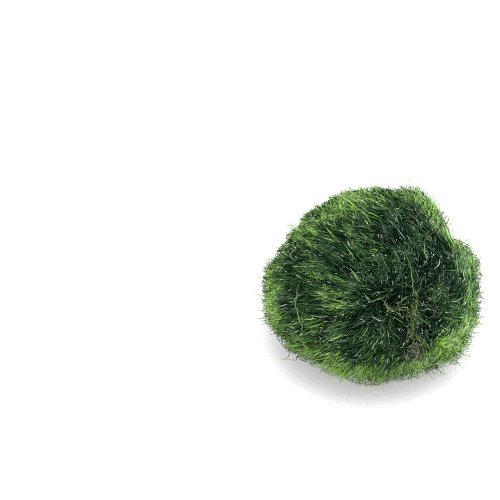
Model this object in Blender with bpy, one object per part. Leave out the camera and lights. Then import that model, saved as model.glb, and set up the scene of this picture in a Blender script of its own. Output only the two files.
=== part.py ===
"""A marimo moss ball: one round mat of green alga, grown as a single piece.

The solid is the form that the tips of the filaments reach. It is a slightly
squashed ball with the lumps, the fold and the partings of the real one, covered
with locks of combed filaments, and it stands on a small flat spot.

Metres, +Z up. The origin lies in the plane of the flat spot, under the middle of
the ball's width and depth. The front is -Y.
"""

import math

import bmesh
import bpy
import numpy as np

# Driving dimensions of the finished ball, in metres.
WIDTH = 0.0500
DEPTH = 0.0470
HEIGHT = 0.0405
FLAT_SHARE = 0.035  # of the height, cut off at the bottom so that the ball stands
PRESSED = -0.92  # a normal's z at the edge of the part that its weight presses smooth
PRESSED_BLEND = 0.16  # of a normal's z, over which the relief comes back

# Resolution.
SPHERE_LEVEL = 6
TRIANGLES = 9000  # before the flat spot is cut, which adds a few

# Lumps and hollows: azimuth from the front towards +X and elevation in degrees,
# height in metres (a hollow's is negative), and spread in degrees.
LUMPS = (
    # The outline as seen from the front and above.
    (143, 39, +0.0029, 14),  # corner at the top right
    (96, 4, +0.0012, 20),  # upper part of the right lobe
    (60, -26, +0.0022, 24),  # lower part of the right lobe
    (-80, -10, +0.0010, 26),  # left side
    (-118, 27, -0.0022, 24),  # flat upper left shoulder
    (-33, -40, -0.0019, 17),  # the underside's slope at the front left
    (38, -38, -0.0021, 14),  # and at the front right
    # Hollows in the face that looks up.
    (8, 35, -0.0012, 10),  # where the filaments part
    (70, 58, -0.0011, 15),  # beside the fold
    # The back and the underside.
    (178, 8, +0.0011, 24),
    (-150, -14, -0.0012, 19),
    (148, -30, +0.0009, 20),
    (-165, 52, +0.0008, 18),
)

# Grooves: the points each one passes through as (azimuth, elevation) in degrees,
# its depth at the first and at the last point in metres, and its half width.
GROOVES = (
    # The fold between the ball and its right lobe.
    (((124, 12), (115, 23), (98, 37), (81, 45), (65, 38), (51, 27), (38, 15)),
     0.0034, 0.0008, 0.0022),
    # A parting low on the left.
    (((-44, 11), (-28, 20), (-12, 25)), 0.0010, 0.0010, 0.0011),
    # Partings at the back.
    (((-170, 40), (-158, 20), (-152, 2)), 0.0013, 0.0006, 0.0015),
    (((150, 0), (168, -14), (-176, -22)), 0.0009, 0.0009, 0.0014),
)

# Locks: tapered bundles of filaments that lie along the flow, tip outwards.
LOCK_COUNT = 76
LOCK_SCATTER = 0.07  # of the ball's radius, off an even spread
LOCK_SIZES = (0.75, 1.2)  # smallest and largest, as shares of the sizes below
LOCK_LENGTH = 0.0150
LOCK_HALF_WIDTH = 0.0030
LOCK_HEIGHT = 0.0013  # at the tip
LOCK_ROOT_SHARE = 0.25  # of that height, at the root
LOCK_BEND = 26  # per metre, sideways, at most
LOCK_TURN = 24  # degrees off the flow, at most

# The flow of the filaments: away from the parting, and combed towards -X.
PARTING = (8, 35)  # azimuth and elevation in degrees
COMB = (-1.0, 0.0, 0.0)
COMB_SHARE = 0.6

SEED = 7
MOSS_GREEN = (0.030, 0.085, 0.022, 1.0)
MOSS_ROUGHNESS = 0.75


def direction(azimuth, elevation):
    """Unit vector towards an azimuth from the front and an elevation, in degrees."""
    a, e = math.radians(azimuth), math.radians(elevation)
    return np.array(
        (math.sin(a) * math.cos(e), -math.cos(a) * math.cos(e), math.sin(e))
    )


def unit(vectors):
    """The vectors at length 1. A vector with no length stays as it is."""
    length = np.linalg.norm(vectors, axis=-1, keepdims=True)
    return vectors / np.maximum(length, 1e-9)


def flow_at(normals):
    """The way the filaments lie on the surface at each of these unit normals."""
    parting = direction(*PARTING)
    away = normals * (normals @ parting)[:, None] - parting
    way = unit(away) + COMB_SHARE * np.array(COMB)
    return unit(way - normals * (way * normals).sum(1)[:, None])


def lumps_at(normals):
    """How far the lumps and hollows raise the surface."""
    raised = np.zeros(len(normals))
    for azimuth, elevation, height, spread in LUMPS:
        off = np.arccos(np.clip(normals @ direction(azimuth, elevation), -1, 1))
        raised += height * np.exp(-((off / math.radians(spread)) ** 2))
    return raised


def grooves_at(normals, radius):
    """How far the grooves lower the surface. Each follows the arcs between its points."""
    lowered = np.zeros(len(normals))
    for stops, first_depth, last_depth, half_width in GROOVES:
        points = np.array([direction(*stop) for stop in stops])
        deepest = np.zeros(len(normals))
        for i, (start, end) in enumerate(zip(points, points[1:])):
            span = end - start
            along = np.clip((normals - start) @ span / (span @ span), 0, 1)
            nearest = unit(start + along[:, None] * span)
            off = np.linalg.norm(normals - nearest, axis=1) * radius
            share = (i + along) / (len(points) - 1)
            depth = first_depth + (last_depth - first_depth) * share
            deepest = np.maximum(deepest, depth * np.exp(-((off / half_width) ** 2)))
        lowered += deepest
    return lowered


def lock_centres(rng):
    """Directions spread evenly over the sphere by the golden angle, each a little off."""
    count = np.arange(LOCK_COUNT) + 0.5
    z = 1 - 2 * count / LOCK_COUNT
    turn = count * math.pi * (3 - math.sqrt(5))
    ring = np.sqrt(1 - z * z)
    even = np.stack((ring * np.cos(turn), ring * np.sin(turn), z), axis=1)
    return unit(even + rng.normal(0, LOCK_SCATTER, even.shape))


def locks_at(normals, radius, rng):
    """How far the locks raise the surface.

    A lock has a round root, a pointed tip and a crowned back that rises to the tip.
    """
    raised = np.zeros(len(normals))
    centres = lock_centres(rng)
    for centre, flow in zip(centres, flow_at(centres)):
        turn = math.radians(rng.uniform(-LOCK_TURN, LOCK_TURN))
        size = rng.uniform(*LOCK_SIZES)
        bend = rng.uniform(-LOCK_BEND, LOCK_BEND)
        along_way = flow * math.cos(turn) + np.cross(centre, flow) * math.sin(turn)
        across_way = np.cross(centre, along_way)
        offset = (normals - centre) * radius
        run = offset @ along_way
        share = np.clip(run / (LOCK_LENGTH * size) + 0.5, 0, 1)  # 0 root, 1 tip
        # The round root and pointed tip: widest, at 1, a third of the way along.
        outline = 1.5 * np.sqrt(3 * share) * (1 - share)
        width = np.maximum(LOCK_HALF_WIDTH * size * outline, 1e-6)
        off = (offset @ across_way - bend * run**2) / width
        crown = np.sqrt(np.clip(1 - off**2, 0, 1))
        rise = LOCK_HEIGHT * size * (LOCK_ROOT_SHARE + (1 - LOCK_ROOT_SHARE) * share)
        inside = (share > 0) & (share < 1) & (normals @ centre > 0)
        raised = np.maximum(raised, np.where(inside, rise * crown, 0))
    return raised


def shaped_sphere():
    """A sphere moved out or in, vertex by vertex, to the form of the ball."""
    bm = bmesh.new()
    bmesh.ops.create_icosphere(bm, subdivisions=SPHERE_LEVEL, radius=1)
    normals = unit(np.array([v.co for v in bm.verts]))
    half = np.array((WIDTH, DEPTH, HEIGHT)) / 2
    radius = 1 / np.linalg.norm(normals / half, axis=1)
    middle = float(half.mean())
    rng = np.random.default_rng(SEED)
    relief = lumps_at(normals) - grooves_at(normals, middle)
    relief += locks_at(normals, middle, rng)
    # Its own weight presses the underside smooth.
    radius += relief * np.clip((normals[:, 2] - PRESSED) / PRESSED_BLEND, 0, 1)
    for vertex, normal, reach in zip(bm.verts, normals, radius):
        vertex.co = normal * reach
    return bm


def thinned(bm):
    """The same shape with fewer triangles, kept where the surface turns most."""
    mesh = bpy.data.meshes.new("moss_ball_fine")
    bm.to_mesh(mesh)
    bm.free()
    fine = bpy.data.objects.new("moss_ball_fine", mesh)
    bpy.context.scene.collection.objects.link(fine)
    decimate = fine.modifiers.new("fewer triangles", "DECIMATE")
    decimate.ratio = TRIANGLES / len(mesh.polygons)
    graph = bpy.context.evaluated_depsgraph_get()
    found = bmesh.new()
    found.from_object(fine, graph)
    bpy.data.objects.remove(fine)
    bpy.data.meshes.remove(mesh)
    return found


def stand(bm):
    """Cuts the flat spot, then brings the ball to its stated size over the origin."""
    heights = [v.co.z for v in bm.verts]
    floor = min(heights) + FLAT_SHARE * (max(heights) - min(heights))
    bmesh.ops.bisect_plane(
        bm,
        geom=bm.verts[:] + bm.edges[:] + bm.faces[:],
        plane_co=(0, 0, floor),
        plane_no=(0, 0, -1),
        clear_outer=True,
    )
    rim = [e for e in bm.edges if e.is_boundary]
    bmesh.ops.contextual_create(bm, geom=rim)
    bmesh.ops.recalc_face_normals(bm, faces=bm.faces)
    points = np.array([v.co for v in bm.verts])
    low, high = points.min(0), points.max(0)
    scale = np.array((WIDTH, DEPTH, HEIGHT)) / (high - low)
    base = np.array(((low[0] + high[0]) / 2, (low[1] + high[1]) / 2, low[2]))
    for vertex, place in zip(bm.verts, (points - base) * scale):
        vertex.co = place


def moss_material():
    """The ball's own green, dull as a damp mat is."""
    material = bpy.data.materials.new("moss")
    material.use_nodes = True
    surface = material.node_tree.nodes["Principled BSDF"]
    surface.inputs["Base Color"].default_value = MOSS_GREEN
    surface.inputs["Roughness"].default_value = MOSS_ROUGHNESS
    surface.inputs["Metallic"].default_value = 0.0
    return material


def moss_ball():
    """The whole ball as one object."""
    bm = thinned(shaped_sphere())
    stand(bm)
    mesh = bpy.data.meshes.new("moss_ball")
    bm.to_mesh(mesh)
    bm.free()
    mesh.shade_smooth()
    mesh.materials.append(moss_material())
    ball = bpy.data.objects.new("moss_ball", mesh)
    bpy.context.scene.collection.objects.link(ball)


def main():
    for old in list(bpy.data.objects):
        bpy.data.objects.remove(old)
    moss_ball()


main()
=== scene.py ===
import math

import bpy
import numpy as np
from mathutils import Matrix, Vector
from mathutils.bvhtree import BVHTree
from mathutils.kdtree import KDTree


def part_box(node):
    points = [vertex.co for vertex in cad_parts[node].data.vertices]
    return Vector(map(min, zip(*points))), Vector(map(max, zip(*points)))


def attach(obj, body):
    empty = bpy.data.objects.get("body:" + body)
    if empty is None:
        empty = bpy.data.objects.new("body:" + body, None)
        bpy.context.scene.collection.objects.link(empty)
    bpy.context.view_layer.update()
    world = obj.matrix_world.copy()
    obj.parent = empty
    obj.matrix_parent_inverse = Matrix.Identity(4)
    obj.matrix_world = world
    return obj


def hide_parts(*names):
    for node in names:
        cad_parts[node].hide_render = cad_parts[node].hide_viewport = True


# a marimo moss ball, in metres: a felted mat under a coat of combed filaments
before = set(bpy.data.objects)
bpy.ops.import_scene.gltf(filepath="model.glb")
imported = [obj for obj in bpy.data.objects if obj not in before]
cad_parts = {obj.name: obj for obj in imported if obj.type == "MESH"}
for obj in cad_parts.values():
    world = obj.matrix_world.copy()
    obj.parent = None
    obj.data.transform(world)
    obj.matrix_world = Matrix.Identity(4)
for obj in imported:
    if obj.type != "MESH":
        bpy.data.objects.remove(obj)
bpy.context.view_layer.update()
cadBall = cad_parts["moss_ball"]
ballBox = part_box("moss_ball")
middle = (ballBox[0] + ballBox[1]) / 2
centre = np.array(middle)
meanRadius = np.linalg.norm(ballBox[1] - ballBox[0]) / 12**0.5  # half the sides' root mean square
print("frame loaded, ball", [round(1000 * s, 1) for s in ballBox[1] - ballBox[0]], "mm")


def deselectAll():
    for o in bpy.context.selected_objects:
        o.select_set(False)
    bpy.context.view_layer.objects.active = None


def direction(azimuth, elevation):
    # azimuth from the front towards +X, both in degrees
    a, e = math.radians(azimuth), math.radians(elevation)
    return np.array((math.sin(a) * math.cos(e), -math.cos(a) * math.cos(e), math.sin(e)))


def unit(v):
    # the same vectors at length 1
    return v / np.maximum(np.linalg.norm(v, axis=-1, keepdims=True), 1e-12)


def turned(v, axes, degrees):
    # turns vectors round axes that they are square to
    a = np.radians(degrees)[:, None]
    return v * np.cos(a) + np.cross(axes, v) * np.sin(a)


# the camera, at the angle of the picture
view = {
    "elevation": 45,  # degrees above the horizon
    "lens": 85,  # mm
    "sensor": 36,  # mm
    "picture": 500,  # pixels
    "ballAt": (372, 283),  # the ball's middle in the picture, in pixels
    "pixelSize": 0.000225,  # metres, at the ball
    "clipStart": 0.01,
}


def makeCamera():
    back = Vector(direction(0, view["elevation"]))
    right = Vector((1, 0, 0))
    up = back.cross(right)
    away = view["lens"] / view["sensor"] * view["picture"] * view["pixelSize"]
    aside = (view["ballAt"][0] - view["picture"] / 2) * view["pixelSize"]
    below = (view["ballAt"][1] - view["picture"] / 2) * view["pixelSize"]
    bpy.ops.object.camera_add(location=middle + back * away - right * aside + up * below)
    camera = bpy.context.object
    camera.name = "pictureCamera"
    camera.rotation_euler = back.to_track_quat("Z", "Y").to_euler()
    camera.data.lens = view["lens"]
    camera.data.sensor_width = view["sensor"]
    camera.data.clip_start = view["clipStart"]
    bpy.context.scene.camera = camera


deselectAll()
makeCamera()
print("camera placed")


# the felted mat that the filaments grow from
mat = {
    "startRadius": 0.01,  # of a sphere inside the ball, which is then pushed out onto it
    "subdivisions": 6,
    "smoothing": 5,
    "inset": 0.0024,  # below the tips
    "lumpSize": 0.0016,
    "lumpHeight": 0.0005,
    "noiseScale": 900,
    "noiseDetail": 6,
    # place on the noise, then red, green, blue; nearly black, a painted shade below the filaments
    "colours": ((0.35, (0.0005, 0.003, 0.001)), (0.7, (0.004, 0.017, 0.006))),
    "bump": 0.0003,
    "roughness": 0.8,
}


def ramp(tree, factor, stops):
    # stops: place from 0 to 1, then red, green, blue
    node = tree.nodes.new("ShaderNodeValToRGB")
    while len(node.color_ramp.elements) < len(stops):
        node.color_ramp.elements.new(0.5)
    for element, (place, colour) in zip(node.color_ramp.elements, stops):
        element.position = place
        element.color = (*colour, 1)
    tree.links.new(factor, node.inputs["Fac"])
    return node.outputs["Color"]


def matMaterial():
    material = bpy.data.materials.new("felt")
    material.use_nodes = True
    tree = material.node_tree
    surface = tree.nodes["Principled BSDF"]
    place = tree.nodes.new("ShaderNodeTexCoord")
    noise = tree.nodes.new("ShaderNodeTexNoise")
    noise.inputs["Scale"].default_value = mat["noiseScale"]
    noise.inputs["Detail"].default_value = mat["noiseDetail"]
    tree.links.new(place.outputs["Object"], noise.inputs["Vector"])
    tree.links.new(ramp(tree, noise.outputs["Fac"], mat["colours"]), surface.inputs["Base Color"])
    bump = tree.nodes.new("ShaderNodeBump")
    bump.inputs["Distance"].default_value = mat["bump"]
    tree.links.new(noise.outputs["Fac"], bump.inputs["Height"])
    tree.links.new(bump.outputs["Normal"], surface.inputs["Normal"])
    surface.inputs["Roughness"].default_value = mat["roughness"]
    return material


def makeMat():
    deselectAll()
    bpy.ops.mesh.primitive_ico_sphere_add(
        subdivisions=mat["subdivisions"], radius=mat["startRadius"], location=middle
    )
    body = bpy.context.object
    body.name = "mossMat"
    bpy.ops.object.transform_apply(location=True, rotation=True, scale=True)

    wrap = body.modifiers.new("ontoTheBall", "SHRINKWRAP")
    wrap.target = cadBall
    wrap.wrap_method = "PROJECT"
    wrap.use_positive_direction = True
    bpy.ops.object.modifier_apply(modifier=wrap.name)

    soft = body.modifiers.new("soften", "SMOOTH")
    soft.iterations = mat["smoothing"]
    bpy.ops.object.modifier_apply(modifier=soft.name)

    inward = body.modifiers.new("inset", "DISPLACE")
    inward.mid_level = 0
    inward.strength = -mat["inset"]
    bpy.ops.object.modifier_apply(modifier=inward.name)

    clumps = bpy.data.textures.new("feltClumps", "CLOUDS")
    clumps.noise_scale = mat["lumpSize"]
    felt = body.modifiers.new("felt", "DISPLACE")
    felt.texture = clumps
    felt.texture_coords = "LOCAL"
    felt.strength = mat["lumpHeight"]
    bpy.ops.object.modifier_apply(modifier=felt.name)
    bpy.ops.object.shade_smooth()
    body.data.materials.append(matMaterial())
    return body


def meshArrays(o):
    # its points, and the three points of each triangle
    mesh = o.data
    mesh.calc_loop_triangles()
    co = np.zeros(len(mesh.vertices) * 3)
    mesh.vertices.foreach_get("co", co)
    corners = np.zeros(len(mesh.loop_triangles) * 3, int)
    mesh.loop_triangles.foreach_get("vertices", corners)
    return co.reshape(-1, 3), corners.reshape(-1, 3)


def treeOf(o):
    co, corners = meshArrays(o)
    return BVHTree.FromPolygons(co.tolist(), corners.tolist())


def reach(tree, ways):
    # how far the surface is from the ball's middle, each way
    found = np.full(len(ways), np.nan)
    for i, way in enumerate(ways):
        hit = tree.ray_cast(middle, Vector(way))
        if hit[0] is not None:
            found[i] = hit[3]
    found[np.isnan(found)] = np.nanmedian(found)
    return found


def scattered(o, count, rng):
    # points spread evenly over a mesh
    co, corners = meshArrays(o)
    a, b, c = (co[corners[:, i]] for i in range(3))
    area = np.linalg.norm(np.cross(b - a, c - a), axis=1)
    pick = rng.choice(len(area), count, p=area / area.sum())
    s, t = rng.random(count), rng.random(count)
    over = s + t > 1
    s[over], t[over] = 1 - s[over], 1 - t[over]
    return a[pick] + (b - a)[pick] * s[:, None] + (c - a)[pick] * t[:, None]


mossMat = makeMat()
matTree, ballTree = treeOf(mossMat), treeOf(cadBall)
print("mat made,", len(mossMat.data.polygons), "faces")


# how the filaments lie: out from the parting, and combed to one side
combing = {
    "parting": (6, 33),  # azimuth and elevation
    "towards": (-1.0, 0.0, 0.15),
    "share": 1.0,  # of that combing, against the flow out from the parting
    "guideShare": 14.0,  # of the guides below, against that flow
    "standOut": 0.7,  # how far they stand up where the combing leaves the ball
    "steepest": 0.25,  # cosine past which the ball's slope no longer leans a guide
    "edgeScatter": 0.35,  # share of the turns off the flow that is left at the ball's edge
    "edgeRise": 1.3,  # how soon that share grows away from the edge
    # combed otherwise: azimuth, elevation, spread, and the heading as seen in the picture,
    # in degrees from the right and round to the left over the top
    "guides": (
        # top
        (-150, 55, 14, 160), (180, 60, 14, 170), (150, 55, 10, 155), (135, 48, 10, 135),
        (-125, 60, 14, 150), (-130, 78, 12, 160), (180, 80, 10, 170), (60, 74, 12, 168),
        # upper left
        (-105, 48, 14, 150), (-85, 40, 12, 153), (-80, 60, 14, 145), (-55, 65, 12, 148),
        (-35, 72, 9, 150), (-65, 45, 12, 164), (-40, 55, 12, 155), (-75, 25, 12, 177),
        (-55, 38, 10, 160), (-33, 48, 10, 150), (-15, 55, 10, 155), (-48, 31, 8, 178),
        # left
        (-60, 16, 10, 190), (-35, 33, 8, 164), (-18, 38, 7, 155), (-20, 28, 8, 176), (-5, 38, 6, 138),
        (-55, 8, 10, 183), (-42, 6, 10, 179), (-38, 14, 9, 178), (-26, 17, 9, 178), (-12, 20, 8, 184),
        # lower left
        (-68, 0, 12, 197), (-53, -10, 12, 200), (-41, -3, 9, 186), (-34, -8, 10, 204),
        (-20, -3, 10, 208), (-18, 8, 9, 196), (-8, 11, 9, 202), (0, 21, 8, 210), (0, 6, 9, 225),
        (-8, -15, 12, 214), (8, -12, 10, 238), (11, 8, 9, 246), (11, 20, 8, 270), (20, -8, 12, 228),
        # right
        (115, 62, 12, 158), (90, 62, 10, 155), (98, 52, 9, 150), (122, 42, 10, 142), (83, 50, 8, 138),
        (12, 62, 9, 170), (8, 54, 9, 158), (32, 60, 9, 115), (52, 57, 8, 135), (22, 24, 8, 318),
        (102, 30, 9, 118), (82, 31, 10, 116), (68, 24, 9, 108), (45, 42, 9, 66), (30, 44, 9, 80),
        (22, 35, 8, 78), (50, 20, 8, 46), (62, 15, 9, 70), (75, 3, 10, 112), (46, 10, 9, 72),
        (52, 0, 10, 88), (42, -5, 9, 76), (55, -12, 9, 95),
    ),
}

# where the growth differs, and where light and shade are painted: azimuth, elevation and
# spread in degrees, then what is added to the shade (0 dark to 1 bright), to the upright share
# (0 flat to 1 upright), to the tangle (0 combed to 1 every way) and to the height (as a share
# of it); the added shade is mostly painted light and shade: the face that looks up painted dark,
# the edges all round it painted bright, and painted shade in the fold, the hole and the band
# below the ridge, with tones that differ from place to place on the far side
growthAndPaintedLight = (
    (0, 44, 52, -0.52, +0.00, +0.00, 0.0),  # painted shade: the face that looks up is darkened
    # top
    (175, 58, 14, -0.15, +0.00, +0.00, 0.0),
    (106, 70, 15, -0.34, +0.00, +0.20, 0.0),
    (126, 61, 10, -0.62, +0.00, +0.00, 0.0),
    (98, 72, 7, -0.14, +0.00, +0.00, 0.0),
    (31, 79, 6, -0.20, +0.00, +0.00, 0.0),
    (178, 56, 5, -0.16, +0.00, +0.00, 0.0),
    (163, 58, 9, -0.34, +0.00, +0.00, 0.0),
    (148, 54, 7, -0.14, +0.00, +0.00, 0.0),
    (58, 74, 10, -0.36, +0.00, +0.00, 0.0),
    (60, 73, 14, -0.10, +0.00, +0.20, -0.1),  # band below the ridge, darkened with a painted shadow, its growth lower and tangled
    (124, 44, 7, +0.24, +0.10, +0.00, 0.0),
    (110, 39, 8, +0.10, +0.20, +0.30, -0.6),  # edge of the corner at the top right
    (-130, 54, 18, +0.26, +0.00, +0.00, -0.1),
    (-108, 57, 8, -0.26, +0.00, +0.00, 0.0),
    (-22, 67, 16, +0.17, +0.00, +0.00, 0.0),
    (-39, 66, 7, +0.12, +0.00, +0.00, 0.0),
    (170, 40, 26, +0.16, +0.10, +0.00, 0.0),
    # the fold and the parting, darkened with painted shade, and the tangled part between them
    (86, 46, 10, -0.45, +0.00, +0.00, -0.3),
    (100, 26, 8, +0.50, +0.10, +0.00, 0.1),
    (90, 38, 7, -0.66, +0.00, +0.00, 0.0),
    (71, 39, 8, -0.62, +0.00, +0.00, 0.0),
    (68, 31, 7, -0.26, +0.00, +0.00, 0.0),
    (50, 47, 10, -0.46, +0.00, +0.00, 0.0),
    (64, 24, 9, -0.34, +0.00, +0.00, 0.0),
    (17, 45, 9, -0.26, +0.00, +0.00, 0.0),
    (64, 53, 10, -0.28, +0.00, +0.20, -0.2),
    (48, 43, 14, -0.26, +0.10, +0.30, -0.1),
    (14, 42, 10, -0.08, +0.15, +0.30, 0.0),
    (26, 34, 26, +0.00, +0.10, +0.60, -0.1),
    (2, 32, 8, -0.24, +0.00, +0.20, -0.4),  # hole at the parting, darkened with painted shade
    (-14, 31, 8, -0.05, +0.00, +0.00, -0.2),
    # right lobe, and the front beside it
    (80, 13, 20, +0.12, +0.15, +0.00, 0.0),
    (47, -9, 17, +0.56, +0.20, +0.00, 0.0),
    (36, -16, 11, +0.06, +0.10, +0.40, -0.5),
    (46, -34, 11, +0.00, +0.20, +0.50, 0.1),
    (55, 13, 7, -0.34, +0.00, +0.00, 0.0),
    (44, 2, 7, -0.18, +0.00, +0.00, 0.0),
    (28, 3, 9, -0.38, +0.00, +0.00, 0.0),
    (14, 1, 8, -0.14, +0.00, +0.00, 0.0),
    (2, 8, 6, +0.12, +0.00, +0.00, 0.0),
    (51, -1, 6, +0.12, +0.00, +0.00, 0.0),
    (30, -6, 12, +0.00, +0.10, +0.40, 0.0),
    (31, 20, 9, -0.38, +0.00, +0.00, 0.0),
    (14, 10, 11, -0.16, +0.00, +0.00, 0.0),
    (62, 18, 7, -0.16, +0.00, +0.00, 0.0),
    (35, 14, 9, -0.16, +0.10, +0.30, -0.2),
    (12, 15, 8, -0.34, +0.00, +0.20, -0.2),
    # left
    (-74, 0, 14, +0.72, +0.20, +0.00, -0.4),
    (-60, 8, 9, -0.24, +0.00, +0.00, 0.0),
    (-64, -6, 8, -0.16, +0.00, +0.00, 0.0),
    (-42, 10, 7, -0.16, +0.00, +0.00, 0.0),
    (-29, 10, 7, -0.12, +0.00, +0.00, 0.0),
    (-50, 34, 8, +0.16, +0.00, +0.00, 0.0),
    (-49, 26, 6, +0.12, +0.00, +0.00, 0.0),
    (-73, 38, 7, +0.14, +0.00, +0.00, 0.0),
    (-64, 17, 10, -0.36, +0.00, +0.00, 0.0),
    (-55, 14, 7, -0.10, +0.00, +0.00, -0.2),
    (-35, 36, 12, +0.36, +0.00, +0.00, 0.0),
    (-80, 29, 9, -0.42, +0.00, +0.00, -0.1),
    (-25, 20, 6, -0.16, +0.00, +0.00, -0.3),
    # the front, near the ground, its edge brightened with painted light
    (-36, -10, 20, +0.34, +0.00, +0.00, 0.0),
    (-12, -18, 14, +0.46, +0.00, +0.00, 0.0),
    (18, -16, 12, +0.62, +0.10, +0.00, -0.2),
    (32, -12, 8, +0.12, +0.00, +0.00, -0.3),
    (33, -14, 6, +0.14, +0.00, +0.00, 0.0),
    (20, 1, 6, -0.14, +0.00, +0.00, 0.0),
    (-8, 9, 9, +0.10, +0.00, +0.00, 0.0),
    (-14, 0, 9, -0.18, +0.00, +0.00, 0.0),
    (8, -9, 8, -0.10, +0.00, +0.00, 0.0),
    (0, -46, 34, +0.20, +0.00, +0.00, -0.3),
    (-52, -30, 22, +0.08, +0.00, +0.00, -0.4),
    # the far side
    (130, -25, 26, -0.16, +0.10, +0.20, 0.0),
    (-165, 10, 24, -0.20, +0.00, +0.10, 0.0),
    (-120, -30, 22, -0.14, +0.00, +0.00, -0.1),
    (165, 30, 12, -0.16, +0.00, +0.00, 0.0),
)


def near(ways, azimuth, elevation, spread, power=2):
    # 1 at that place on the ball, fading out over spread degrees, more sharply with more power
    off = np.arccos(np.clip(ways @ direction(azimuth, elevation), -1, 1))
    return np.exp(-((off / math.radians(spread)) ** power))


def asSeen(ways, guides):
    # leans vectors that lie in the picture onto the ball, so that they look the same there
    back = direction(0, view["elevation"])
    facing = np.maximum(ways @ back, combing["steepest"])
    return guides - back * ((guides * ways).sum(-1) / facing)[..., None]


def inPicture(heading):
    # headings in degrees, as vectors that lie in the picture
    a = np.radians(np.asarray(heading, float))[..., None]
    right, up = np.array((1.0, 0.0, 0.0)), direction(180, 90 - view["elevation"])
    return right * np.cos(a) + up * np.sin(a)


def headingAt(ways, heading):
    # along the ball, at that heading as seen in the picture
    way = asSeen(ways, inPicture(heading))
    return unit(way - ways * (way * ways).sum(-1, keepdims=True))


def flowAt(ways):
    # which way the filaments lie there
    parting = direction(*combing["parting"])
    away = unit(ways * (ways @ parting)[:, None] - parting)
    flow = away + combing["share"] * np.array(combing["towards"])
    guided = np.zeros(ways.shape)
    for azimuth, elevation, spread, heading in combing["guides"]:
        guided += np.outer(near(ways, azimuth, elevation, spread), inPicture(heading))
    flow += combing["guideShare"] * asSeen(ways, guided)
    return unit(flow - ways * (flow * ways).sum(1)[:, None])


def scatterAt(ways):
    # share of the turns off the flow: less round the edge of the ball, where they show more
    facing = np.abs(ways @ direction(0, view["elevation"]))
    return np.clip(combing["edgeScatter"] + combing["edgeRise"] * facing, 0, 1)


def growthAndPaintedLightAt(ways):
    # what the growth and the painted light and shade there add to the shade, upright share, tangle and
    # height
    added = np.zeros((4, len(ways)))
    for azimuth, elevation, spread, *amounts in growthAndPaintedLight:
        added += np.outer(amounts, near(ways, azimuth, elevation, spread, power=4))
    return added


# small gaps between the locks, drawn out along the flow, where the filaments are lowered and darkened
# with painted shade
pits = {
    "count": 300,
    "length": 0.0026,
    "width": 0.0009,
    "sizes": (0.6, 1.3),  # as shares of those two
    "lower": 0.8,  # how far the filaments over one are lowered, as a share
    "paintedShade": 0.60,  # painted shade, taken off their shade
    "seed": 3,
}


def makePits():
    rng = np.random.default_rng(pits["seed"])
    ways = unit(rng.normal(0, 1, (pits["count"], 3)))
    tree = KDTree(len(ways))
    for i, way in enumerate(ways):
        tree.insert(Vector(way), i)
    tree.balance()
    return {
        "ways": ways,
        "tree": tree,
        "flow": flowAt(ways),
        "size": rng.uniform(*pits["sizes"], len(ways)),
    }


def pitAt(points):
    # 1 in the middle of a pit, 0 away from them all
    ways = unit(points - centre)
    mine = np.array([madePits["tree"].find(Vector(way))[1] for way in ways])
    off = (ways - madePits["ways"][mine]) * np.linalg.norm(points - centre, axis=1)[:, None]
    flow = madePits["flow"][mine]
    along = (off * flow).sum(1) / pits["length"]
    across = (off * np.cross(madePits["ways"][mine], flow)).sum(1) / pits["width"]
    return np.exp(-(along**2 + across**2) / madePits["size"][mine] ** 2)


madePits = makePits()
print("pits placed,", pits["count"])

# one lock is a bundle of filaments that lie side by side
locks = {
    "count": 2600,
    "turn": 12,  # degrees off the flow
    "tangledTurn": 110,  # what tangling adds to it
    "runSpread": 0.3,  # of their lengths, as a share
    "runLimits": (0.5, 1.6),
    "shadeSpread": 0.20,
    "shadeLimits": (-0.4, 0.3),
    "rise": (0.70, 1.0),  # how high their tips are, as shares of the depth from mat to ball
    "riseCurve": 0.6,  # less leaves more tips near the upper end of that
    "width": 0.00022,  # at the tip
    "seed": 5,
}


def makeLocks():
    rng = np.random.default_rng(locks["seed"])
    roots = scattered(mossMat, locks["count"], rng)
    ways = unit(roots - centre)
    tangle = np.clip(growthAndPaintedLightAt(ways)[2], 0, 1)
    turn = rng.normal(0, 1, len(roots)) * (locks["turn"] + locks["tangledTurn"] * tangle)
    tree = KDTree(len(roots))
    for i, p in enumerate(roots):
        tree.insert(Vector(p), i)
    tree.balance()
    low, high = locks["rise"]
    return {
        "roots": roots,
        "tree": tree,
        "flow": turned(flowAt(ways), ways, turn * scatterAt(ways)),
        "run": np.clip(rng.normal(1, locks["runSpread"], len(roots)), *locks["runLimits"]),
        "shade": np.clip(rng.normal(0, locks["shadeSpread"], len(roots)), *locks["shadeLimits"]),
        "rise": low + (high - low) * rng.random(len(roots)) ** locks["riseCurve"],
    }


madeLocks = makeLocks()
print("locks laid,", locks["count"])

# what all the filaments have in common
habit = {
    "thickness": (0.75, 1.25),  # as shares of their piece's radius
    "floorGap": 0.0001,
    "clearance": 1.3,  # radii, added to that gap
    "showing": 0.7,  # how far up a filament the part that shows is
    "runLimits": (0.0003, 0.0075),
    "flatRun": 1.15,  # share of its length that one which lies flat has
    "uprightLoss": 0.75,  # what one that stands upright has less
    "heightLimits": (0.25, 2),  # what the growth may make of their height, as shares
    "tangledTurn": 1.5,  # added by tangling to the turns off the flow, as a share
    "tangledSway": 2,  # and to the sway
    "pull": (0.5, 1),  # how much of a lock's gathering one follows
    "tangledPull": 0.6,  # taken off that by tangling
    "bulge": 0.75,  # how far one climbs before it leans over, as a share of its climb
    "lean": 0.25,  # how far it has leaned by then, as a share of the way to its tip
    "bunching": 0.6,  # how far the middles of a lock's filaments come together
    "kink": 0.12,  # of single rings, as a share of the sway
}
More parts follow.
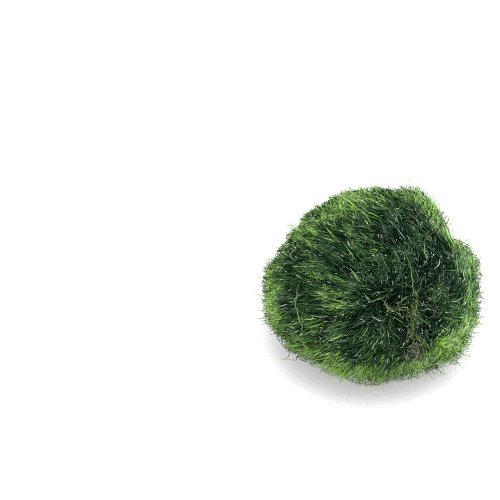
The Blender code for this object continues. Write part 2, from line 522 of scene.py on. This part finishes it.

# colours at a filament's root and tip: place on the shade scale, then red, green, blue
# the scale runs from dark to bright green, then pale ones (a painted sheen), near-white wet
# ones (a painted glint) and dry ones; its near-black low end and dark roots are painted shade
# down in the coat, and the bright roots at the top of the greens a painted glow of light
# passing through the filaments
filamentLook = {
    "root": ((0.0, (0.0005, 0.004, 0.002)), (0.35, (0.005, 0.020, 0.005)), (0.50, (0.024, 0.076, 0.009)),
             (0.69, (0.220, 0.450, 0.048)), (0.71, (0.010, 0.024, 0.012)), (0.80, (0.030, 0.050, 0.028)),
             (0.81, (0.280, 0.350, 0.260)), (0.89, (0.480, 0.550, 0.460)), (0.90, (0.012, 0.010, 0.006)),
             (1.0, (0.020, 0.015, 0.009))),
    "tip": ((0.0, (0.002, 0.011, 0.006)), (0.22, (0.045, 0.130, 0.062)), (0.45, (0.145, 0.325, 0.122)),
            (0.69, (0.520, 0.680, 0.370)), (0.71, (0.050, 0.110, 0.055)), (0.80, (0.370, 0.490, 0.350)),
            (0.81, (0.280, 0.350, 0.260)), (0.89, (0.480, 0.550, 0.460)), (0.90, (0.150, 0.150, 0.068)),
            (1.0, (0.220, 0.195, 0.110))),
    "green": (0.02, 0.67),
    "pale": (0.725, 0.79),
    "paintedGlint": (0.825, 0.875),
    "dry": (0.915, 0.98),
    "darkRoots": 2.6,  # more keeps the painted shade of the roots further up
    # the share of pale ones, whose colour is a painted sheen, falls off to either side, over what the
    # growth and the painted light and shade add to the shade
    "paleGrowth": 2,  # slope towards the bright side
    "paleInDark": (3, 2.6, 0.25),  # start and slope towards the dark side, and the least share
}

# short and dark, it fills the ball below the locks; its dark colour is partly painted shade
undercoat = {
    "name": "undercoat",
    "count": 32000,
    "pieces": 1,
    "radius": 0.00013,
    "run": 0.0012,
    "runSpread": 0.6,
    "ownTurn": 80,  # degrees off the lock's own direction
    "gather": 0.0,  # how far the filaments of a lock come together
    "sway": 0.0,  # sideways, in the middle of a filament
    "rise": (0.30, 0.75),  # tips, as shares of the lock's own height
    "riseCurve": 0.7,  # more leaves fewer tips near the upper end of that
    "keepsRise": 0.0,  # 1 for tips that don't follow the lock's height
    "upright": 0.25,  # 0 flat to 1 upright
    "shade": 0.10,  # 0 dark to 1 bright
    "shadeSpread": 0.05,
    "pale": 0.0,  # share of pale ones, a painted sheen, where the added shade is dark
    "paleInBright": 0.15,  # how many of those are left where it is bright, as a share
    "paintedGlint": 0.0,  # share of painted glints, the brightest ones
    "dry": 0.01,  # share of dead ones
    "rings": (0.0,),  # along the filament, whose tip closes it
    "taper": (1.0,),  # thickness at each ring, as a share
    "seed": 21,
}

# the combed filaments that make the ball's face
topCoat = {
    "name": "locks",
    "count": 56000,
    "pieces": 3,
    "radius": 0.000107,
    "run": 0.0048,
    "runSpread": 0.35,
    "ownTurn": 10,
    "gather": 0.5,
    "sway": 0.0004,
    "rise": (0.46, 1.36),
    "riseCurve": 2.2,
    "keepsRise": 0.0,
    "upright": 0.25,
    "shade": 0.78,
    "shadeSpread": 0.24,
    "pale": 0.17,
    "paleInBright": 0.15,
    "paintedGlint": 0.0,
    "dry": 0.01,
    "rings": (0.0, 0.52),
    "taper": (1.0, 0.9),
    "seed": 11,
}

# fine hairs that stand out and make the ball's soft edge
fringe = {
    "name": "fringe",
    "count": 4000,
    "pieces": 1,
    "radius": 0.00007,
    "run": 0.0032,
    "runSpread": 0.4,
    "ownTurn": 40,
    "gather": 0.0,
    "sway": 0.0004,
    "rise": (0.90, 2.05),
    "riseCurve": 1.8,
    "keepsRise": 1.0,
    "upright": 0.75,
    "shade": 0.70,
    "shadeSpread": 0.2,
    "pale": 0.02,
    "paleInBright": 1.0,
    "paintedGlint": 0.0,
    "dry": 0.03,
    "rings": (0.0, 0.4, 0.7),
    "taper": (1.0, 0.9, 0.7),
    "seed": 31,
}

# where a filament lies in the map: across is its shade, and up runs from root to tip
filamentMap = {
    "width": 0.012,
    "from": 0.02,
    "height": 0.95,
    "rootEnd": 0.01,  # keeps the root's end open
}


def tubes(name, paths, radii, shades, along, material):
    # one joined mesh of closed three-sided tubes, each ending in a point
    # paths: filament, ring, xyz, with the tip as the last ring
    # along: each ring's place from root to tip, as a share
    count, rings = len(paths), paths.shape[1] - 1
    heading = unit(np.gradient(paths, axis=1, edge_order=1))[:, :rings]
    chord = unit(paths[:, -1] - paths[:, 0])
    squarest = np.eye(3)[np.abs(chord).argmin(1)]
    square = np.cross(chord, squarest)[:, None]
    side = unit(square - heading * (square * heading).sum(2, keepdims=True))
    other = np.cross(heading, side)
    turns = [2 * math.pi * k / 3 for k in range(3)]
    outward = [side * math.cos(a) + other * math.sin(a) for a in turns]
    points = np.stack([paths[:, :rings] + way * radii[:, :, None] for way in outward], axis=2)
    points = np.concatenate((points.reshape(count, rings * 3, 3), paths[:, -1:]), axis=1)

    # each corner: its point, its place round the tube in thirds, and its ring
    faces = []
    for r in range(rings - 1):
        for k in range(3):
            a, b, c, d = (k, r), (k + 1, r), (k + 1, r + 1), (k, r + 1)
            faces += [(a, b, c), (a, c, d)]
    faces += [((k, rings - 1), (k + 1, rings - 1), (k + 0.5, rings)) for k in range(3)]
    faces.append(((0, 0), (2, 0), (1, 0)))
    corners = np.array(faces, float)
    third, ring = corners[..., 0], corners[..., 1]
    point = np.where(ring == rings, rings * 3, ring * 3 + third % 3).astype(int)
    v = np.interp(ring, np.arange(rings + 1), (*along, 1.0))
    v[-1, 2] += filamentMap["rootEnd"]
    v = filamentMap["from"] + filamentMap["height"] * v[None]
    perTube = rings * 3 + 1
    allFaces = point[None] + (np.arange(count) * perTube)[:, None, None]
    u = shades[:, None, None] + (third[None] / 3 - 0.5) * filamentMap["width"]
    uv = np.stack((u, np.broadcast_to(v, u.shape)), axis=-1)

    mesh = bpy.data.meshes.new(name)
    faceCount = allFaces.size // 3
    mesh.vertices.add(count * perTube)
    mesh.vertices.foreach_set("co", points.astype(np.float32).ravel())
    mesh.loops.add(faceCount * 3)
    mesh.loops.foreach_set("vertex_index", allFaces.astype(np.int32).ravel())
    mesh.polygons.add(faceCount)
    mesh.polygons.foreach_set("loop_start", np.arange(0, faceCount * 3, 3, dtype=np.int32))
    mesh.update(calc_edges=True)
    mesh.uv_layers.new(name="OFBake").data.foreach_set("uv", uv.astype(np.float32).ravel())
    mesh.shade_smooth()
    mesh.materials.append(material)
    o = bpy.data.objects.new(name, mesh)
    bpy.context.scene.collection.objects.link(o)
    return o


def keepOffFloor(paths, radius):
    paths[..., 2] = np.maximum(paths[..., 2], habit["floorGap"] + radius * habit["clearance"])


def grow(spec, material):
    # combed filaments, bundled in the locks
    rng = np.random.default_rng(spec["seed"])
    count = spec["count"]
    roots = scattered(mossMat, count, rng)
    ways = unit(roots - centre)
    mine = np.array([madeLocks["tree"].find(Vector(p))[1] for p in roots])
    _, upright, tangle, taller = growthAndPaintedLightAt(ways)
    leaving = np.clip(ways @ unit(np.array(combing["towards"])), 0, 1)
    upright = np.clip(spec["upright"] + upright + combing["standOut"] * leaving**2, 0, 1)
    tangle = np.clip(tangle, 0, 1)

    flow = madeLocks["flow"][mine]
    flow = unit(flow - ways * (flow * ways).sum(1)[:, None])
    scatter = scatterAt(ways)
    turn = rng.normal(0, 1, count) * spec["ownTurn"] * (1 + habit["tangledTurn"] * tangle)
    flow = turned(flow, ways, turn * scatter)
    run = spec["run"] * (habit["flatRun"] - habit["uprightLoss"] * upright) * madeLocks["run"][mine]
    run = np.clip(run * rng.normal(1, spec["runSpread"], count), *habit["runLimits"])

    tips = roots + flow * run[:, None]
    lockTips = madeLocks["roots"] + madeLocks["flow"] * (spec["run"] * madeLocks["run"])[:, None]
    pull = spec["gather"] * rng.uniform(*habit["pull"], count) * (1 - habit["tangledPull"] * tangle)
    tips += (lockTips[mine] - tips) * pull[:, None] + rng.normal(0, locks["width"], tips.shape)
    tipWays = unit(tips - centre)
    low, high = spec["rise"]
    rise = low + (high - low) * rng.random(count) ** spec["riseCurve"]
    rise *= 1 - (1 - madeLocks["rise"][mine]) * (1 - spec["keepsRise"])
    inPit = pitAt(tips)
    rise *= np.clip(1 + taller - pits["lower"] * inPit, *habit["heightLimits"])
    matReach, ballReach = reach(matTree, tipWays), reach(ballTree, tipWays)
    tips = centre + tipWays * (matReach + (ballReach - matReach) * rise)[:, None]

    # up from the root, then over towards the tip
    climb = np.linalg.norm(tips - centre, axis=1) - np.linalg.norm(roots - centre, axis=1)
    bend = roots + ways * (habit["bulge"] * climb)[:, None] + (tips - roots) * habit["lean"]
    bend += (madeLocks["roots"][mine] - roots) * (habit["bunching"] * pull)[:, None]
    sway = rng.normal(0, spec["sway"], count) * (1 + habit["tangledSway"] * tangle) * scatter
    bend += np.cross(ways, flow) * sway[:, None]
    t = np.array((*spec["rings"], 1.0))[None, :, None]
    paths = (1 - t) ** 2 * roots[:, None] + 2 * t * (1 - t) * bend[:, None] + t**2 * tips[:, None]
    paths[:, 1:] += rng.normal(0, 1, paths[:, 1:].shape) * spec["sway"] * habit["kink"]
    keepOffFloor(paths, spec["radius"])

    thickness = rng.uniform(*habit["thickness"], count)
    radii = spec["radius"] * thickness[:, None] * np.array(spec["taper"])[None]
    # the shade added where a filament shows, mostly painted light and shade
    moreShade = growthAndPaintedLightAt(unit(roots + (tips - roots) * habit["showing"] - centre))[0]
    # painted shade is taken off where a filament lies over a pit
    shade = shadesOf(spec, moreShade + madeLocks["shade"][mine] - pits["paintedShade"] * inPit, moreShade, rng)

    # one piece for each sector round the ball
    azimuth = np.arctan2(roots[:, 0] - centre[0], centre[1] - roots[:, 1])
    sectors = np.array_split(np.argsort(azimuth, kind="stable"), spec["pieces"])
    made = []
    for i, these in enumerate(sectors):
        name = spec["name"] + (str(i + 1) if len(sectors) > 1 else "")
        made.append(tubes(name, paths[these], radii[these], shade[these], spec["rings"], material))
    return made


def shadesOf(spec, added, moreShade, rng):
    # places on the shade scale: green ones, among them some dry ones, and pale and near-white
    # ones whose colours are painted sheen and painted glints
    count = len(added)
    shade = spec["shade"] + added + rng.normal(0, spec["shadeSpread"], count)
    low, high = filamentLook["green"]
    shade = low + (high - low) * np.clip(shade, 0, 1)
    kind, first = rng.random(count), 0
    for name in ("dry", "paintedGlint", "pale"):
        share = spec[name]
        if name == "pale":  # fewer painted sheens where the added shade is bright, and where it is darkest
            start, slope, least = filamentLook["paleInDark"]
            share = share * np.clip(-filamentLook["paleGrowth"] * moreShade, spec["paleInBright"], 1)
            share = share * np.clip(start + slope * moreShade, least, 1)
        those = (kind >= first) & (kind < first + share)
        shade[those] = rng.uniform(*filamentLook[name], those.sum())
        first += spec[name]
    return shade


# what the creeping strands have in common
creep = {
    "runLimits": (0.3, 2),  # as shares of the piece's run
    "climb": 3,  # how soon one is up at its full height
    "dip": 0.15,  # how far its tip goes down again, as a share of its height
    "end": 0.7,  # thickness of its end, as a share
}


def creeping(spec, ways, flow, rng):
    # strands that follow the ball, from under its surface up and then along it
    count, steps = len(ways), len(spec["rings"])
    run = spec["run"] * np.clip(rng.normal(1, spec["runSpread"], count), *creep["runLimits"])
    curl = rng.normal(0, 1, count) * spec["curl"]
    low, high = spec["rise"]
    rise = rng.uniform(low, high, count)
    stops, at = [], (*spec["rings"], 1.0)
    for i in range(steps + 1):
        share = rise * min(1, spec["from"] + creep["climb"] * at[i]) * (1 - creep["dip"] * (at[i] == 1))
        inner, outer = reach(matTree, ways), reach(ballTree, ways)
        stops.append(centre + ways * (inner + (outer - inner) * share)[:, None])
        if i < steps:
            part = at[i + 1] - at[i]
            ways = unit(ways + flow * (run * part / meanRadius)[:, None])
            flow = unit(flow - ways * (flow * ways).sum(1)[:, None])
            flow = turned(flow, ways, curl * part)
    paths = np.stack(stops, axis=1)
    keepOffFloor(paths, spec["radius"])
    thickness = rng.uniform(*habit["thickness"], count)
    radii = spec["radius"] * thickness[:, None] * np.linspace(1, creep["end"], steps)[None]
    return paths, radii


# short ends whose near-white colour is a painted glint on wet filaments
glints = {
    "name": "glints",
    "count": 4600,
    "radius": 0.00006,
    "run": 0.0007,
    "runSpread": 0.5,
    "turn": 30,  # degrees off the lie of the others, where they start
    "curl": 30,  # degrees that one turns over its length
    "from": 0.85,  # how far up it starts, as a share of its height
    "rise": (0.86, 1.10),
    "shade": 0.5,
    "shadeSpread": 0.1,
    "pale": 0.55,
    "paleInBright": 0.4,
    "paintedGlint": 0.40,
    "dry": 0.0,
    "rings": (0.0, 0.5),
    "seed": 41,
}

# single ones that creep over the others, each curving its own way
strays = {
    "name": "strays",
    "count": 2000,
    "radius": 0.00007,
    "run": 0.0034,
    "runSpread": 0.45,
    "turn": 30,
    "curl": 55,
    "from": 0.4,
    "rise": (0.62, 1.06),
    "shade": 0.52,
    "shadeSpread": 0.2,
    "pale": 0.42,
    "paleInBright": 0.35,
    "paintedGlint": 0.02,
    "dry": 0.04,
    "rings": (0.0, 0.25, 0.5, 0.75),
    "seed": 51,
}

# curly ones, where the growth is tangled
curls = {
    "name": "curls",
    "count": 700,  # before those where it isn't tangled are left out
    "elsewhere": 0.12,  # share of those that stay all the same
    "radius": 0.00006,
    "run": 0.0030,
    "runSpread": 0.4,
    "turn": 180,
    "curl": 190,
    "from": 0.4,
    "rise": (0.90, 1.20),
    "shade": 0.45,
    "shadeSpread": 0.15,
    "pale": 0.5,
    "paleInBright": 0.15,
    "paintedGlint": 0.0,
    "dry": 0.1,
    "rings": (0.0, 0.13, 0.26, 0.39, 0.52, 0.65, 0.78, 0.9),
    "seed": 61,
}


def makeStrays(spec, material):
    rng = np.random.default_rng(spec["seed"])
    ways = unit(scattered(mossMat, spec["count"], rng) - centre)
    tangle = growthAndPaintedLightAt(ways)[2]
    if "elsewhere" in spec:
        # these grow mostly where it is tangled
        kept = rng.random(len(ways)) < np.clip(spec["elsewhere"] + tangle, 0, 1)
        ways, tangle = ways[kept], tangle[kept]
    turn = rng.normal(0, 1, len(ways)) * spec["turn"] * (1 + habit["tangledTurn"] * np.clip(tangle, 0, 1))
    paths, radii = creeping(spec, ways, turned(flowAt(ways), ways, turn), rng)
    # the shade added along the strand, mostly painted light and shade
    moreShade = growthAndPaintedLightAt(unit(paths.mean(1) - centre))[0]
    shades = shadesOf(spec, moreShade, moreShade, rng)
    return tubes(spec["name"], paths, radii, shades, spec["rings"], material)


# matted tufts of old growth: azimuth, elevation, how many, spread along and across the
# heading, the heading as seen in the picture, and the shade (0 olive to 1 brown)
tufts = {
    "name": "tufts",
    "radius": 0.00008,
    "run": 0.0022,
    "runSpread": 0.45,
    "turn": 40,
    "curl": 110,
    "from": 0.5,
    "rise": (0.85, 1.15),
    "shadeSpread": 0.2,
    "shadeLimits": (0.02, 0.98),
    "rings": (0.0, 0.25, 0.5, 0.75),
    "seed": 71,
    "places": (
        (20, 26, 42, 0.0026, 0.0008, 272, 0.12),  # olive band below the parting
        (19, 14, 20, 0.0014, 0.0008, 262, 0.25),
        (12, 32, 18, 0.0016, 0.0008, 310, 0.20),
        (18, 6, 40, 0.0010, 0.0013, 300, 0.90),  # brown cluster at its end
        (-30, 10, 12, 0.0016, 0.0006, 160, 0.20),
        (150, 5, 70, 0.0020, 0.0012, 90, 0.30),  # the far side
        (-150, 2, 36, 0.0016, 0.0010, 40, 0.70),
    ),
}


def makeTufts(spec, material):
    rng = np.random.default_rng(spec["seed"])
    allWays, allHeadings, shades = [], [], []
    for azimuth, elevation, count, along, across, heading, shade in spec["places"]:
        way = direction(azimuth, elevation)
        lie = headingAt(way, heading)
        off = rng.normal(0, 1, (count, 2)) * (along, across) / meanRadius
        allWays.append(unit(way + off[:, :1] * lie + off[:, 1:] * np.cross(way, lie)))
        allHeadings.append(np.full(count, heading) + rng.normal(0, spec["turn"], count))
        shades.append(shade + rng.normal(0, spec["shadeSpread"], count))
    ways = np.concatenate(allWays)
    paths, radii = creeping(spec, ways, headingAt(ways, np.concatenate(allHeadings)), rng)
    shades = np.clip(np.concatenate(shades), *spec["shadeLimits"])
    return tubes(spec["name"], paths, radii, shades, spec["rings"], material)


# long strands laid one by one: the places they pass as azimuth and elevation, their
# thickness as a share, their shade (0 olive to 1 brown), and how many metres their tips
# stand off the ball (0 for one that lies down at both ends)
longStrands = {
    "name": "longStrands",
    "radius": 0.00013,
    "rise": 1.10,
    "from": 0.6,  # how far up one starts, as a share of that
    "climb": 4,  # how soon it is up at that height
    "end": 0.7,  # thickness of its end, as a share
    "stops": 14,
    "smoothing": 2,
    "sway": 0.00012,
    "seed": 81,
    "routes": (
        (((-61, 31), (-54, 23), (-50, 15), (-46, 9)), 1.5, 0.08, 0),
        (((-48, 20), (-46, 12), (-44, 7)), 1.2, 0.12, 0),
        (((-49, 9), (-46, 4), (-42, 1), (-38, -3)), 1.2, 0.02, 0),
        (((46, 70), (35, 62), (27, 52), (23, 42), (22, 36)), 0.9, 0.12, 0),
        (((24, 39), (23, 33), (20, 28)), 0.7, 0.15, 0),
        (((-2, 39), (2, 35), (5, 31)), 0.7, 0.45, 0),
        (((7, 12), (7, 7), (6, 2)), 0.9, 0.40, 0),
        (((64, 62), (59, 57), (52, 50)), 0.8, 0.20, 0),
        (((151, 56), (128, 72), (110, 78), (80, 80)), 0.6, 0.10, 0),
        (((-170, 12), (-158, 22), (-150, 35)), 0.9, 0.10, 0),
        (((120, 5), (112, -8), (118, -20)), 0.8, 0.20, 0),
        (((-110, 5), (-104, 18), (-112, 28)), 0.8, 0.15, 0),
        # loose hairs along the edge
        (((124, 49), (118, 45), (106, 43)), 0.45, 0.60, 0.0022),
        (((116, 46), (112, 40), (118, 34)), 0.40, 0.80, 0.0026),
        (((112, 44), (106, 40), (106, 34)), 0.45, 0.75, 0.0030),
        (((108, 44), (104, 38), (112, 34)), 0.40, 0.85, 0.0022),
        (((104, 40), (100, 34), (98, 30)), 0.40, 0.85, 0.0024),
        (((88, 34), (96, 30), (106, 32)), 0.40, 0.85, 0.0014),
        (((82, 20), (86, 18), (92, 20)), 0.40, 0.85, 0.0012),
        (((78, 8), (84, 6), (92, 8)), 0.45, 0.70, 0.0014),
        (((50, -10), (53, -17), (55, -22)), 0.40, 0.45, 0.0012),
        (((47, -12), (48, -19), (48, -24)), 0.40, 0.35, 0.0014),
        (((53, -9), (56, -14), (60, -19)), 0.35, 0.60, 0.0012),
        (((30, -8), (32, -13), (29, -18)), 0.35, 0.80, 0.0008),
        (((4, -10), (3, -20), (5, -30)), 0.45, 0.60, 0.0014),
        (((-8, -12), (-4, -22), (2, -28)), 0.45, 0.85, 0.0010),
        (((-50, -10), (-55, -22), (-60, -30)), 0.80, 0.02, 0.0026),
        (((-46, -13), (-50, -24), (-62, -30)), 0.70, 0.02, 0.0022),
        (((-72, 24), (-80, 22), (-88, 18)), 0.90, 0.03, 0.0022),
        (((-74, 20), (-82, 20), (-92, 20)), 0.80, 0.04, 0.0018),
        (((-70, 10), (-78, 8), (-88, 6)), 0.45, 0.80, 0.0018),
        (((-72, 4), (-80, 0), (-88, -4)), 0.45, 0.80, 0.0020),
    ),
}


def makeLongStrands(spec, material):
    rng = np.random.default_rng(spec["seed"])
    stops = spec["stops"]
    at = np.linspace(0, 1, stops)
    paths, radii, shades = [], [], []
    for route, thickness, shade, lift in spec["routes"]:
        points = np.array([direction(*stop) for stop in route])
        corners = np.linspace(0, 1, len(points))
        ways = np.stack([np.interp(at, corners, points[:, i]) for i in range(3)], axis=1)
        for _ in range(spec["smoothing"]):
            ways[1:-1] = (ways[:-2] + 2 * ways[1:-1] + ways[2:]) / 4
        ways = unit(ways)
        inner, outer = reach(matTree, ways), reach(ballTree, ways)
        fromEnd = at if lift else np.minimum(at, 1 - at)
        rise = spec["rise"] * np.minimum(1, spec["from"] + spec["climb"] * fromEnd)
        path = centre + ways * (inner + (outer - inner) * rise + lift * at**2)[:, None]
        keepOffFloor(path, spec["radius"])
        paths.append(path + rng.normal(0, spec["sway"], path.shape))
        radii.append(spec["radius"] * thickness * np.linspace(1, spec["end"], stops - 1))
        shades.append(shade)
    rings = tuple(at[:-1])
    return tubes(spec["name"], np.array(paths), np.array(radii), np.array(shades), rings, material)


# colours of the fringe, which is dull at its ends; its bright roots are partly a painted glow of light
# through the edge
fringeLook = {
    "darkRoots": 1.3,
    "root": ((0.0, (0.010, 0.035, 0.012)), (0.25, (0.040, 0.110, 0.030)), (0.7, (0.220, 0.400, 0.070)),
             (1.0, (0.100, 0.120, 0.050))),
    "tip": ((0.0, (0.025, 0.046, 0.020)), (0.7, (0.115, 0.190, 0.062)), (1.0, (0.090, 0.085, 0.055))),
}

# colours of the tufts, from olive to brown, with pale ends
tuftLook = {
    "darkRoots": 1.7,
    "root": ((0.0, (0.020, 0.036, 0.010)), (0.6, (0.016, 0.020, 0.010)), (1.0, (0.020, 0.016, 0.014))),
    "tip": ((0.0, (0.300, 0.430, 0.150)), (0.35, (0.300, 0.370, 0.170)), (0.6, (0.440, 0.430, 0.320)),
            (1.0, (0.560, 0.490, 0.450))),
}

# colours of the long strands, from olive to brown
oldLook = {
    "darkRoots": 1.6,
    "root": ((0.0, (0.020, 0.036, 0.010)), (0.6, (0.020, 0.026, 0.010)), (1.0, (0.030, 0.022, 0.018))),
    "tip": ((0.0, (0.300, 0.420, 0.140)), (0.35, (0.260, 0.330, 0.130)), (0.6, (0.360, 0.350, 0.230)),
            (1.0, (0.360, 0.290, 0.250))),
}


# roughness and specular level of each material
finishes = {
    "filament": (0.5, 0.0),
    "undergrowth": (0.9, 0.0),
    "paintedGlint": (0.2, 0.5),
    "fringe": (0.5, 0.0),
    "tuft": (0.6, 0.0),
    "oldGrowth": (0.6, 0.0),
}


def filamentMaterial(name, look=filamentLook):
    # across the map from dark to bright, and up it from root to tip
    material = bpy.data.materials.new(name)
    material.use_nodes = True
    tree = material.node_tree
    surface = tree.nodes["Principled BSDF"]
    uv = tree.nodes.new("ShaderNodeUVMap")
    uv.uv_map = "OFBake"
    parts = tree.nodes.new("ShaderNodeSeparateXYZ")
    tree.links.new(uv.outputs["UV"], parts.inputs["Vector"])
    mix = tree.nodes.new("ShaderNodeMix")
    mix.data_type = "RGBA"
    share = tree.nodes.new("ShaderNodeMath")
    share.operation = "POWER"
    share.inputs[1].default_value = look["darkRoots"]
    tree.links.new(parts.outputs["Y"], share.inputs[0])
    tree.links.new(share.outputs["Value"], mix.inputs["Factor"])
    tree.links.new(ramp(tree, parts.outputs["X"], look["root"]), mix.inputs["A"])
    tree.links.new(ramp(tree, parts.outputs["X"], look["tip"]), mix.inputs["B"])
    tree.links.new(mix.outputs["Result"], surface.inputs["Base Color"])
    roughness, specular = finishes[name]
    surface.inputs["Roughness"].default_value = roughness
    surface.inputs["Specular IOR Level"].default_value = specular
    return material


filament = filamentMaterial("filament")
oldGrowth = filamentMaterial("oldGrowth", oldLook)
grown = grow(undercoat, filamentMaterial("undergrowth")) + grow(topCoat, filament)
print("undercoat and combed filaments grown")
grown += grow(fringe, filamentMaterial("fringe", fringeLook))
grown += [makeStrays(glints, filamentMaterial("paintedGlint"))]
print("fringe and glints grown")
grown += [makeStrays(strays, filament), makeStrays(curls, filament)]
grown += [makeTufts(tufts, filamentMaterial("tuft", tuftLook)), makeLongStrands(longStrands, oldGrowth)]
print("strays, tufts and long strands laid")
print("in all", sum(len(o.data.polygons) for o in grown), "faces in", len(grown), "pieces")

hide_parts("moss_ball")
for piece in [mossMat] + grown:
    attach(piece, "root")


# pale floor, and soft light from above and a little from the front
studio = {
    "floorSize": 1.0,  # further off the lamps no longer make it white
    "floorColour": (0.42, 0.42, 0.42),
    "floorGlow": 0.30,
    "floorRoughness": 0.7,
    "sky": 1.1,  # how bright it lights the ball
    "backdrop": 1.0,  # and how bright it looks
    "pixelFilter": 1.1,  # pixels, small for crisp filaments
    # place, size in metres and power in watts of each lamp
    "lamps": {
        "softbox": ((0.0, -0.16, 0.60), 0.70, 6.8),
        "key": ((0.0, -0.14, 0.60), 0.25, 2.6),
    },
}


def makeStudio():
    deselectAll()
    bpy.ops.mesh.primitive_plane_add(size=studio["floorSize"])
    floor = bpy.context.object
    floor.name = "floor"
    paint = bpy.data.materials.new("floorPaint")
    paint.use_nodes = True
    surface = paint.node_tree.nodes["Principled BSDF"]
    surface.inputs["Base Color"].default_value = (*studio["floorColour"], 1)
    surface.inputs["Roughness"].default_value = studio["floorRoughness"]
    surface.inputs["Emission Color"].default_value = (1, 1, 1, 1)
    surface.inputs["Emission Strength"].default_value = studio["floorGlow"]
    floor.data.materials.append(paint)

    world = bpy.data.worlds.new("studio")
    world.use_nodes = True
    world.cycles.sampling_method = "NONE"  # an even sky needs none, and the shadow gets less grain
    bpy.context.scene.world = world
    tree = world.node_tree
    background = tree.nodes["Background"]
    background.inputs["Color"].default_value = (1, 1, 1, 1)
    rays = tree.nodes.new("ShaderNodeLightPath")
    strength = tree.nodes.new("ShaderNodeMapRange")
    strength.inputs["To Min"].default_value = studio["sky"]
    strength.inputs["To Max"].default_value = studio["backdrop"]
    tree.links.new(rays.outputs["Is Camera Ray"], strength.inputs["Value"])
    tree.links.new(strength.outputs["Result"], background.inputs["Strength"])

    for name, (place, size, power) in studio["lamps"].items():
        bpy.ops.object.light_add(type="AREA", location=place)
        lamp = bpy.context.object
        lamp.name = name
        lamp.data.size = size
        lamp.data.energy = power
        lamp.rotation_euler = (lamp.location - middle).to_track_quat("Z", "Y").to_euler()
    bpy.context.scene.view_settings.view_transform = "Standard"
    bpy.context.scene.cycles.use_denoising = False
    bpy.context.scene.cycles.filter_width = studio["pixelFilter"]


makeStudio()
print("studio lit")
